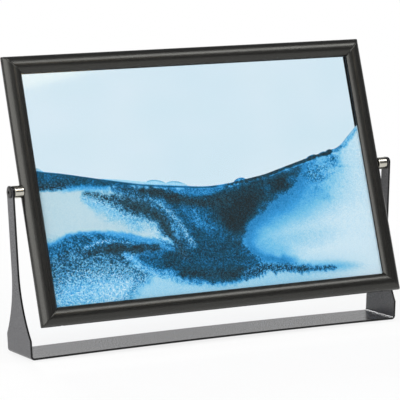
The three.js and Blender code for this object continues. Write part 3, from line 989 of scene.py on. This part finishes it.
def paint_middle(sand, ragged, fine, broad):
    """The dark middle, from the sweep on the left to the night under the right crest."""
    outline = [(-46, -8), (-38, -20), (-30, -34), (-32, -46), (-40, -52), (-66, -54), (-64, -60), (-56, -64),
               (-46, -68.5), (-38, -72.5), (-27, -77), (-14, -79.5), (0, -80.5), (12, -80), (22, -77.5),
               (30, -74), (38, -68), (28, -60), (23, -53), (24.5, -46), (30, -38), (37, -32), (46, -27.5),
               (60, -21), (72, -14), (82, -2), (84, 4), (60, 0), (35, -5), (5, -9), (-25, -7)]
    mass = depth_in(sand.place, outline) + 1.8 * ragged + fine
    sand.lay(soft(mass, -4.5, 2), 0.48, 0.4)
    sand.lay(soft(mass, -1, 6), 0.7 + 0.1 * broad + 0.07 * ragged, 0.45)
    night = depth_in(sand.place, [(6, -12), (35, -6), (50, -3), (66, 0), (84, 3), (80, -4), (74, -11),
                                  (64, -18), (54, -23), (44, -27), (37, -32), (29, -39), (24, -47),
                                  (16, -52), (8, -40), (2, -24)])
    sand.lay(soft(night + 2.2 * ragged + 1.2 * fine, -7, 9), 0.88 + 0.12 * broad, 0.35, 0.22)
    sole = [(-30, -71, 6.5), (-12, -74, 8), (4, -75, 8.5), (18, -73.5, 7)]
    sand.draw(sole, (0.9, 0.45, 0.3), 0.2 * fine + 0.12 * ragged, 1.2)
    mottles = [((-13, -31), 11, 10, 0.42), ((-5, -38), 9, 6, 0.48), ((50, -12), 15, 6, 0.68),
               ((62, -18), 15, 6, 0.54), ((74, -8), 9, 6, 0.58), ((-20, -62), 15, 10, 0.73)]
    for middle, wide, high, dark in mottles:
        share = patch(sand.place, middle, wide, high)
        sand.lay(soft(share + 0.4 * ragged + 0.3 * fine, 0, 1.2), dark, 0.45)
    shallow = [(-34, -8.5, 3), (-18, -11, 4.6), (-2, -11, 4.6), (12, -9.5, 2.5)]
    sand.draw(shallow, (0.48, 0.3), 0.2 * ragged + 0.2 * fine)
    paint_sweep(sand, ragged, fine)


def paint_sweep(sand, ragged, fine):
    """The dark sweep that runs down from the left band, and the shelf and pale streak over it."""
    sweep = [(-103, -5.5, 3), (-95, -7, 4.5), (-85, -10, 6.5), (-77, -12.5, 8), (-70, -15.5, 9.5),
             (-61, -18.5, 10.5), (-52, -22.5, 11), (-46, -28, 10.5), (-41, -34.5, 9.5), (-37, -42, 8.5),
             (-33, -49, 8), (-29, -57, 7)]
    haze = [(-102, -12, 5), (-93, -16, 9), (-83, -21, 11), (-72, -27, 11), (-62, -33, 8)]
    sand.draw(haze, (0.23, 0.35, 0.2), 0.2 * ragged, 1.1)
    fringe = [(px - 2, pz - 3, half * 1.25) for px, pz, half in sweep[:9]]
    sand.draw(fringe, (0.26, 0.55, 0.2), 0.3 * fine, 1.1)
    between = [(-80, -4, 3), (-66, -7, 7), (-54, -11, 9), (-43, -19, 9), (-34, -30, 8), (-28, -40, 7),
               (-23, -50, 6)]
    sand.draw(between, (0.58, 0.55, 0.2), 0.3 * fine)
    shelf = [(-80, -3, 1.5), (-68, -4.5, 3.5), (-55, -7, 5.8), (-44, -8.5, 6.6), (-34, -12.5, 7),
             (-24, -16, 6.6), (-14, -18.5, 6), (-2, -19.5, 6.5), (14, -19, 7)]
    sand.draw(shelf, (0.7, 0.6, 0.3), 0.3 * fine, 1.0)
    sand.draw(shelf[2:], (0.9, 0.5, 0.45), 0.16 * ragged + 0.15 * fine, 1.2, 0.1)
    sand.draw(sweep[:6], (0.64, 0.95, 0.7), 0.25 * fine, 1.1)
    sand.draw(sweep[3:], (0.76, 0.65, 0.5), 0.14 * ragged + 0.2 * fine, 1.2)
    sand.draw(sweep[4:10], (0.84, 0.5, 0.55), 0.14 * ragged + 0.15 * fine, 1.2, 0.2)
    streak = [(-50, -13, 1.6), (-43, -17.5, 2.4), (-37, -23.5, 3.2), (-31.5, -30, 4), (-27, -37, 4.4),
              (-23, -44, 4), (-19, -51, 3)]
    sand.draw(streak, (0.36, 0.7, 0.2), 0.25 * fine, 1.1)


def paint_pocket(sand, x, z, ragged, fine):
    """The pale pocket on the right with a blue glow along its edge, and the tongue below it."""
    edge = curve([(84, 1), (75, -12), (61, -22), (46, -29), (34, -36), (27, -45), (24.5, -53), (29, -60),
                  (40, -65), (55, -69), (70, -72.5), (84, -75)])
    gap = np.maximum(gaps_to(edge, sand.place).min(axis=1) - 1 + 1.5 * ragged, 0)
    fade = 5 + 13 * soft(z, -66, -48) + 9 * soft(z, -46, -24)
    share = soft(x, 14, 27) * (1 - 0.9 * soft(x, 52, 84) * soft(-z, 58, 68))
    glow = 0.46 * share * np.exp(-(gap / fade) ** 1.4)
    thin = glow > sand.coats[:, 0]
    sand.coats[thin, 1] = 0.1
    sand.coats[:, 0] = np.maximum(sand.coats[:, 0], glow)
    clouds = [((102, -2), 28, 17, 0.26, 0.3), ((88, -20), 26, 11, 0.34, 0.15),
              ((94, -5), 16, 10, 0.51, 0.65), ((112, 6), 13, 8, 0.48, 0.55)]
    for middle, wide, high, dark, grain in clouds:
        share = patch(sand.place, middle, wide, high)
        cover = soft(share + 0.35 * ragged + 0.25 * fine, 0, 1.1)
        sand.lay(cover, np.maximum(dark, sand.coats[:, 0]), grain)
    spikes = lumps(sand.place, (1.3, 9), 4) + 0.7 * lumps(sand.place, (3.1, 12), 5)
    frayed = 0.45 * spikes * soft(-z, 73, 77) + 0.3 * fine
    tail = [(72, -75.5, 7), (90, -76.5, 7), (108, -77.5, 6.5), (122, -78.5, 5), (134, -80, 3)]
    sand.draw(tail, (0.36 * (1 - soft(x, 96, 134)), 0.15), 0.0, 1.3)
    tongue = [(22, -75.5, 7), (37, -73, 6.2), (50, -74.2, 5.6), (62, -75.5, 5), (76, -77, 4), (90, -77.5, 3),
              (99, -78, 1.5)]
    sand.draw(tongue, (0.68, 0.85, 0.2), frayed, 0.85, 0.05)


def paint_crest(sand, x, z, ragged, fine):
    """The bands and lines that lie under the crest, and its clear mounds, with painted shade along their
    tops.
    """
    under = crest(x) - z
    sole = height([(-142, 0), (-124, -1), (-114, 0.5), (-98, -0.4), (-84, -1.6), (-70, -3.6), (-60, -5)])
    over = z - sole(x) + 0.6 * fine
    left = soft(-x, 56, 70)
    sand.lay(left * soft(over, -5, -1.5) * soft(-x, 72, 88) * soft(x, -126, -114), 0.36, 0.2)
    sand.lay(left * soft(over, -1, 2.5) * soft(under, 0.2, 0.9), 0.69 + 0.1 * ragged, 0.4)
    sand.lay(soft(-x, 104, 128) * soft(over, -2, 1.5) * soft(7 - over, -1, 5), 0.8, 0.75, 0.35)
    line = soft(under, -0.3, 0.5) * soft(2 - under, 0, 1)
    sand.lay(0.85 * line * soft(-x, -30, 0), 0.72)
    ridge = [(18, -7.2, 1.5), (35, -4.8, 1.9), (50, -2.4, 2.1), (64, 1, 2.3), (78, 4.3, 2.7),
             (92, 7.8, 2.9), (104, 10.6, 2.7), (117, 13.6, 2.4), (121, 15.2, 1.6)]
    sand.draw(ridge, (0.86, 0.5, 0.3), 0.4 * fine, 0.7)
    seam = [(54, -3.4, 0.5), (64, -0.8, 0.8), (76, 2.1, 0.9), (90, 5.4, 0.8), (99, 7.8, 0.5)]
    sand.draw(seam, (0.3,))
    rise = [(114, 12.5, 3), (122, 15.5, 4), (129, 21, 4), (137, 27.4, 3)]
    sand.draw(rise, (0.36, 0.5), 0.3 * fine, 1.2)
    film = soft(-under, 0, 0.4) * soft(-x, -60, -50)
    sand.lay(film, 0.13 + 0.3 * soft(x, 10, 24), 0.1 + 0.5 * soft(x, 10, 24))
    # Painted shade: a darker brownish line just under the top of the taller mounds, where their rounded
    # edges darken
    rim = soft(z - sand_top(x), -1.1, -0.4) * soft(sand_top(x) - crest(x), 1.9, 2.9)
    sand.lay(0.8 * film * rim, 0.36, 0.1, 0.5)


def slab(columns, tops, floors, rows):
    """Places and faces of an upright slab between two lines, with its front first."""
    shares = np.linspace(0, 1, rows) ** SAND_ROW_POWER
    heights = tops[:, None] + (floors - tops)[:, None] * shares[None, :]
    wide = np.repeat(columns, rows)
    flat = np.stack([wide, heights.ravel()], axis=1)
    count = len(flat)
    places = []
    for y in (-FILL_HALF_DEPTH, FILL_HALF_DEPTH):
        places += [(px, y, pz) for px, pz in flat]
    faces = []

    def at(i, j):
        return i * rows + j

    for i in range(len(columns) - 1):
        for j in range(rows - 1):
            quad = (at(i, j), at(i, j + 1), at(i + 1, j + 1), at(i + 1, j))
            faces.append(quad)
            faces.append(tuple(count + k for k in reversed(quad)))
        for j in (0, rows - 1):
            faces.append((at(i, j), at(i + 1, j), count + at(i + 1, j), count + at(i, j)))
    for i in (0, len(columns) - 1):
        for j in range(rows - 1):
            faces.append((at(i, j), at(i, j + 1), count + at(i, j + 1), count + at(i, j)))
    return places, faces, flat


def cell_fill():
    """The sand from the floor to its crest, and the liquid over it."""
    low, high = picture_box("liquid_fill")
    low[2] = picture_box("pale_sand_floor")[0][2]
    columns = np.linspace(low[0], high[0], SAND_COLUMNS)
    tops = sand_top(columns)
    places, faces, flat = slab(columns, tops, np.full(len(columns), low[2]), SAND_ROWS)
    mesh = make_mesh("sand", places, faces)
    paint = mesh.attributes.new("drift", "FLOAT_COLOR", "POINT")
    colours = paint_sand(flat)
    paint.data.foreach_set("color", np.vstack([colours, colours]).astype(np.float32).ravel())
    loads = ["dark_sand", "pale_sand_left", "pale_sand_right", "pale_sand_floor"]
    show("sand", mesh, ["layered_sand"], "picture", loads, PICTURE)
    places, faces, _ = slab(columns, np.full(len(columns), high[2]), tops + LIQUID_GAP, 2)
    mesh = make_mesh("liquid", places, faces)
    show("liquid", mesh, ["pale_blue_liquid"], "picture", ["liquid_fill"], PICTURE)


def hidden_nodes():
    """Pieces inside the frame whose own solids show what is needed."""
    record_slots = {row["node"]: row["material_slot"] for row in frame["record"]["subparts"]}
    for node, thing in frame["nodes"].items():
        if node.startswith(("corner_", "pivot_nut", "cell_spacer", "fill_plug")):
            thing.data.materials.clear()
            thing.data.materials.append(MATERIALS[record_slots[node]])


# Stage, in metres
FLOOR_HALF = 40
FLOOR_GLOW = 0.85
FLOOR_GLOW_REACH = (0.25, 0.6)
BACKDROP_WAY = (0.479, 0.878, 0)
BACKDROP_SIDES = (0.6, 0.85)
BACKDROP_TOP = (0.25, 0.45)
SKY = (0.18, 0.18, 0.185, 1)
CAMERA_PLACE = Vector((-0.8913, -1.6232, 0.3596))
CAMERA_AZIMUTH = math.radians(-28.6276)
CAMERA_ELEVATION = math.radians(7.8585)
CAMERA_ROLL = math.radians(-0.545)
CAMERA_CLIP = (0.1, 200)
SENSOR_MM = 36
LENS_MM = 224.04


def way_at(turn, rise):
    """Direction at a turn from the front towards the right, and at a rise."""
    return Vector((math.sin(turn) * math.cos(rise), -math.cos(turn) * math.cos(rise), math.sin(rise)))


def direct_rays(s):
    """1 for the rays that come straight from the camera or through a clear piece."""
    rays = s.add("ShaderNodeLightPath")
    return s.maths("MAXIMUM", rays.outputs["Is Camera Ray"], rays.outputs["Is Transmission Ray"])


def floor():
    s = Shader("floor")
    place = s.place()
    away = s.add("ShaderNodeVectorMath", {0: place}, operation="LENGTH").outputs["Value"]
    seen = s.maths("MAXIMUM", direct_rays(s), s.add("ShaderNodeLightPath").outputs["Is Glossy Ray"])
    share = s.maths("MULTIPLY", s.span(away, *FLOOR_GLOW_REACH, FLOOR_GLOW, 1.0), seen)
    mottle = s.noise(0.05, place, 2)
    colour = s.ramp(mottle, [(0.3, (0.84, 0.84, 0.84, 1)), (0.7, (0.86, 0.86, 0.86, 1))])
    body = s.add("ShaderNodeBsdfDiffuse", {"Color": colour})
    glow = s.add("ShaderNodeEmission", {"Color": WHITE, "Strength": 1.0})
    material = s.finish(s.add("ShaderNodeMixShader", {0: share, 1: body.outputs[0], 2: glow.outputs[0]}))
    mesh = bpy.data.meshes.new("floor")
    corners = [(x * FLOOR_HALF, y * FLOOR_HALF, 0) for x, y in ((-1, -1), (1, -1), (1, 1), (-1, 1))]
    mesh.from_pydata(corners, [], [(0, 1, 2, 3)])
    mesh.materials.append(material)
    plane = add_object("floor", mesh)


def world():
    """A dim studio with a backdrop that is white to every ray, and all white where it is seen directly."""
    sky = bpy.data.worlds.new("studio")
    bpy.context.scene.world = sky
    sky.use_nodes = True
    s = Nodes(sky.node_tree)
    way = s.add("ShaderNodeTexCoord").outputs["Generated"]
    behind = s.add("ShaderNodeVectorMath", {0: way, 1: BACKDROP_WAY}, operation="DOT_PRODUCT")
    rise = s.add("ShaderNodeSeparateXYZ", {0: way}).outputs["Z"]
    across = s.span(behind.outputs["Value"], *BACKDROP_SIDES, 0.0, 1.0)
    share = s.maths("MULTIPLY", across, s.span(rise, *BACKDROP_TOP, 1.0, 0.0))
    colour = s.blend(s.maths("MAXIMUM", share, direct_rays(s)), SKY, WHITE)
    back = s.add("ShaderNodeBackground", {"Color": colour, "Strength": 1.0})
    s.add("ShaderNodeOutputWorld", {"Surface": back.outputs[0]})


def lamp(name, turn, rise, away, size, power, tint=(1, 1, 1)):
    """A soft lamp seen from the pivot at a turn and rise in degrees and a distance."""
    light = bpy.data.lights.new(name, "AREA")
    light.shape = "RECTANGLE"
    light.size, light.size_y = size
    light.energy = power
    light.color = tint
    thing = add_object(name, light)
    way = way_at(math.radians(turn), math.radians(rise))
    thing.location = PIVOT + way * away
    thing.rotation_mode = "QUATERNION"
    thing.rotation_quaternion = way.to_track_quat("Z", "Y")
    thing.visible_camera = False


def lamps():
    lamp("left_panel", -70, 17, 1.3, (1.7, 0.75), 13.6)
    lamp("left_spill", -24, 17, 1.4, (0.45, 0.6), 0.8)
    lamp("top_right", 43, 46, 1.6, (0.9, 0.42), 7)
    lamp("key", -22, 62, 1.6, (0.6, 0.6), 9.5)
    lamp("behind", 174, 29, 1.5, (0.24, 0.24), 7)
    lamp("corner_glint", 23, 33.8, 1.18, (0.16, 0.06), 0.11, (1, 0.7, 0.3))


def camera():
    data = bpy.data.cameras.new("camera")
    data.sensor_width = SENSOR_MM
    data.lens = LENS_MM
    data.clip_start, data.clip_end = CAMERA_CLIP
    thing = add_object("camera", data)
    back = way_at(CAMERA_AZIMUTH, CAMERA_ELEVATION)
    right = Vector((math.cos(CAMERA_AZIMUTH), math.sin(CAMERA_AZIMUTH), 0))
    up = back.cross(right)
    turned_right = right * math.cos(CAMERA_ROLL) + up * math.sin(CAMERA_ROLL)
    turned_up = up * math.cos(CAMERA_ROLL) - right * math.sin(CAMERA_ROLL)
    turn = Matrix((turned_right, turned_up, back)).transposed()
    thing.matrix_world = Matrix.Translation(CAMERA_PLACE) @ turn.to_4x4()
    bpy.context.scene.camera = thing


frame_rails()
stand()
foot_pads()
pivots()
panes()
cell_fill()
hidden_nodes()
floor()
world()
lamps()
camera()
bpy.context.scene.view_settings.view_transform = "Standard"
